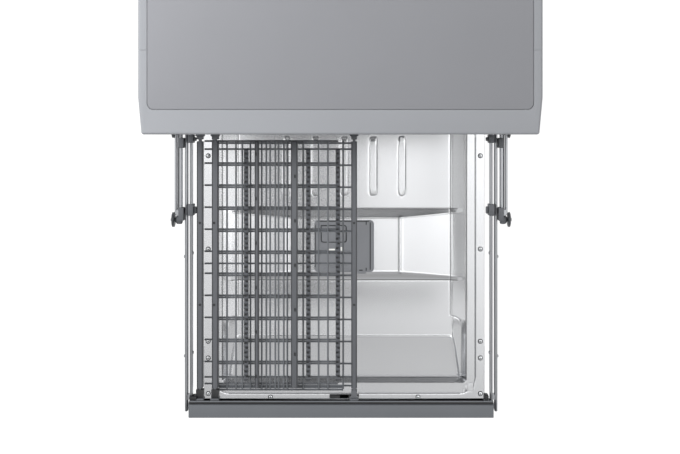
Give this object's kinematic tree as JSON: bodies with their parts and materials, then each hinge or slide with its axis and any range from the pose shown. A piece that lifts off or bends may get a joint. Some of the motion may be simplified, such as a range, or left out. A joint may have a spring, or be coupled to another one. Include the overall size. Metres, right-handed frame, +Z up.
{
  "type": "dishwasher",
  "caption": "Freestanding dishwasher with its drop-down door open and a half-width cutlery tray pulled out on telescopic rails.",
  "frame": {"origin": "on the floor, in the middle of the footprint that the machine covers with its door open", "axes": "+X to the right of someone who faces the machine, +Y towards its back, +Z up"},
  "size_m": [0.6, 1.165, 0.85],
  "materials": {
    "worktop_laminate": "matt pale grey laminate",
    "trim_plastic": "semi-gloss pale grey moulding",
    "enamel": "smooth pale enamel",
    "stainless": "satin stainless steel sheet",
    "galvanised": "bare zinc-coated steel",
    "base_plastic": "matt near-black moulding",
    "grey_plastic": "satin dark grey moulding",
    "mid_grey_plastic": "satin mid grey moulding",
    "black_plastic": "matt black moulding",
    "white_plastic": "matt white moulding",
    "display": "glossy dark display window",
    "rubber": "matt black rubber",
    "pad_rubber": "hard dark rubber",
    "coated_wire": "grey nylon-coated wire",
    "screw_steel": "bright zinc-plated steel",
    "cast_metal": "rough cast weight",
    "brass_thread": "bare machined brass"
  },
  "bodies": {
    "cabinet": {"worktop_board": "worktop_laminate", "worktop_front_trim": "trim_plastic", "worktop_edge_trims": "trim_plastic", "side_panels": "enamel", "back_panel": "galvanised", "base_tray": "base_plastic", "kick_plate": "enamel", "levelling_feet": "pad_rubber", "frame_rails": "galvanised", "tub": "stainless", "tub_gasket": "rubber", "sump": "base_plastic", "circulation_pump": "cast_metal", "drain_pump": "white_plastic", "salt_container": "white_plastic", "supply_duct": "grey_plastic", "filter_plate": "stainless", "water_inlet": "brass_thread", "drain_spigot": "grey_plastic", "power_inlet": "black_plastic", "hinge_brackets": "galvanised", "latch_strike": "screw_steel", "counterweight": "cast_metal", "tray_fixed_rails": "stainless", "upper_rails": "stainless"},
    "door": {"door_outer_panel": "enamel", "door_liner": "stainless", "control_fascia": "trim_plastic", "handle_grip": "grey_plastic", "display_window": "display", "dispenser_body": "mid_grey_plastic", "door_screws": "screw_steel", "door_latch": "black_plastic", "hinge_arms": "galvanised"},
    "detergent_lid": {"detergent_lid": "mid_grey_plastic"},
    "rinse_aid_flap": {"rinse_aid_flap": "mid_grey_plastic"},
    "power_button": {"power_button": "grey_plastic"},
    "program_button": {"program_button": "grey_plastic"},
    "start_button": {"start_button": "grey_plastic"},
    "tray_middle": {"tray_mid_rails": "stainless"},
    "tray": {"tray_long_rails": "stainless", "tray_fascia": "grey_plastic", "tray_crossbar": "grey_plastic", "tray_bars": "mid_grey_plastic", "tray_wires": "coated_wire", "tray_combs": "mid_grey_plastic"},
    "tray_front_rollers": {"tray_front_rollers": "black_plastic"},
    "tray_middle_rollers": {"tray_middle_rollers": "black_plastic"},
    "lower_basket": {"lower_basket": "coated_wire"},
    "folding_tines": {"folding_tines": "coated_wire"},
    "lower_front_wheels": {"lower_front_wheels": "grey_plastic"},
    "lower_rear_wheels": {"lower_rear_wheels": "grey_plastic"},
    "upper_basket": {"upper_basket": "coated_wire"},
    "cup_shelf": {"cup_shelf": "coated_wire"},
    "upper_spray_arm": {"upper_spray_arm": "grey_plastic"},
    "upper_rollers": {"upper_rollers": "black_plastic"},
    "lower_spray_arm": {"lower_spray_arm": "grey_plastic"},
    "ceiling_spray_head": {"ceiling_spray_head": "grey_plastic"},
    "filter_cup": {"filter_cup": "grey_plastic"},
    "salt_cap": {"salt_cap": "grey_plastic"}
  },
  "joints": [
    {"name": "door_hinge", "type": "hinge", "parent": "cabinet", "child": "door", "pos_m": [0, 0.0425, 0.187], "axis": [-1, 0, 0], "range_deg": [0, 90]},
    {"name": "detergent_lid_slide", "type": "slide", "parent": "door", "child": "detergent_lid", "axis": [1, 0, 0], "range_m": [0, 0.04]},
    {"name": "rinse_aid_flap_hinge", "type": "hinge", "parent": "door", "child": "rinse_aid_flap", "pos_m": [-0.022, -0.2155, 0.202], "axis": [1, 0, 0], "range_deg": [-85, 0]},
    {"name": "power_button_press", "type": "slide", "parent": "door", "child": "power_button", "axis": [0, 0, 1], "range_m": [0, 0.0015], "stiffness_N_per_m": 900, "springref_m": -0.001},
    {"name": "program_button_press", "type": "slide", "parent": "door", "child": "program_button", "axis": [0, 0, 1], "range_m": [0, 0.0015], "stiffness_N_per_m": 900, "springref_m": -0.001},
    {"name": "start_button_press", "type": "slide", "parent": "door", "child": "start_button", "axis": [0, 0, 1], "range_m": [0, 0.0015], "stiffness_N_per_m": 900, "springref_m": -0.001},
    {"name": "tray_middle_slide", "type": "slide", "parent": "cabinet", "child": "tray_middle", "axis": [0, 1, 0], "range_m": [0, 0.261]},
    {"name": "tray_slide", "type": "slide", "parent": "cabinet", "child": "tray", "axis": [0, 1, 0], "range_m": [0, 0.522]},
    {"name": "tray_front_roller_spin", "type": "hinge", "parent": "tray_middle", "child": "tray_front_rollers", "pos_m": [0, -0.1526, 0.745], "axis": [-1, 0, 0], "range_deg": [0, 1300]},
    {"name": "tray_middle_roller_spin", "type": "hinge", "parent": "tray_middle", "child": "tray_middle_rollers", "pos_m": [0, -0.012, 0.745], "axis": [-1, 0, 0], "range_deg": [0, 1300]},
    {"name": "lower_basket_slide", "type": "slide", "parent": "cabinet", "child": "lower_basket", "axis": [0, 1, 0], "range_m": [-0.45, 0]},
    {"name": "folding_tines_hinge", "type": "hinge", "parent": "lower_basket", "child": "folding_tines", "pos_m": [0, 0.20175, 0.24435], "axis": [-1, 0, 0], "range_deg": [0, 80]},
    {"name": "lower_front_wheel_spin", "type": "hinge", "parent": "lower_basket", "child": "lower_front_wheels", "pos_m": [0, 0.15, 0.2206], "axis": [-1, 0, 0], "range_deg": [-1520, 0]},
    {"name": "lower_rear_wheel_spin", "type": "hinge", "parent": "lower_basket", "child": "lower_rear_wheels", "pos_m": [0, 0.44, 0.2206], "axis": [-1, 0, 0], "range_deg": [-1520, 0]},
    {"name": "upper_basket_slide", "type": "slide", "parent": "cabinet", "child": "upper_basket", "axis": [0, 1, 0], "range_m": [-0.38, 0]},
    {"name": "cup_shelf_hinge", "type": "hinge", "parent": "upper_basket", "child": "cup_shelf", "pos_m": [-0.2362, 0.29, 0.5998], "axis": [0, -1, 0], "range_deg": [0, 85]},
    {"name": "upper_spray_arm_spin", "type": "hinge", "parent": "upper_basket", "child": "upper_spray_arm", "pos_m": [0, 0.305, 0.475], "axis": [0, 0, 1], "continuous": true},
    {"name": "upper_roller_spin", "type": "hinge", "parent": "cabinet", "child": "upper_rollers", "pos_m": [0, 0.106, 0.5597], "axis": [1, 0, 0], "range_deg": [-1820, 0]},
    {"name": "lower_spray_arm_spin", "type": "hinge", "parent": "cabinet", "child": "lower_spray_arm", "pos_m": [0, 0.305, 0.216], "axis": [0, 0, 1], "continuous": true},
    {"name": "ceiling_spray_head_spin", "type": "hinge", "parent": "cabinet", "child": "ceiling_spray_head", "pos_m": [0, 0.305, 0.762], "axis": [0, 0, 1], "continuous": true},
    {"name": "filter_cup_turn", "type": "hinge", "parent": "cabinet", "child": "filter_cup", "pos_m": [0.095, 0.25, 0.18], "axis": [0, 0, 1], "range_deg": [0, 60]},
    {"name": "salt_cap_turn", "type": "hinge", "parent": "cabinet", "child": "salt_cap", "pos_m": [-0.175, 0.42, 0.19], "axis": [0, 0, 1], "range_deg": [0, 90]}
  ],
  "couplings": [
    {"joint": "tray_slide", "follows": "door_hinge", "m_per_rad": 0.33232},
    {"joint": "tray_middle_slide", "follows": "door_hinge", "m_per_rad": 0.16616},
    {"joint": "tray_front_roller_spin", "follows": "door_hinge", "ratio": 13.846},
    {"joint": "tray_middle_roller_spin", "follows": "door_hinge", "ratio": 13.846},
    {"joint": "lower_front_wheel_spin", "follows": "lower_basket_slide", "rad_per_m": 58.824},
    {"joint": "lower_rear_wheel_spin", "follows": "lower_basket_slide", "rad_per_m": 58.824},
    {"joint": "upper_roller_spin", "follows": "upper_basket_slide", "rad_per_m": 83.333}
  ]
}
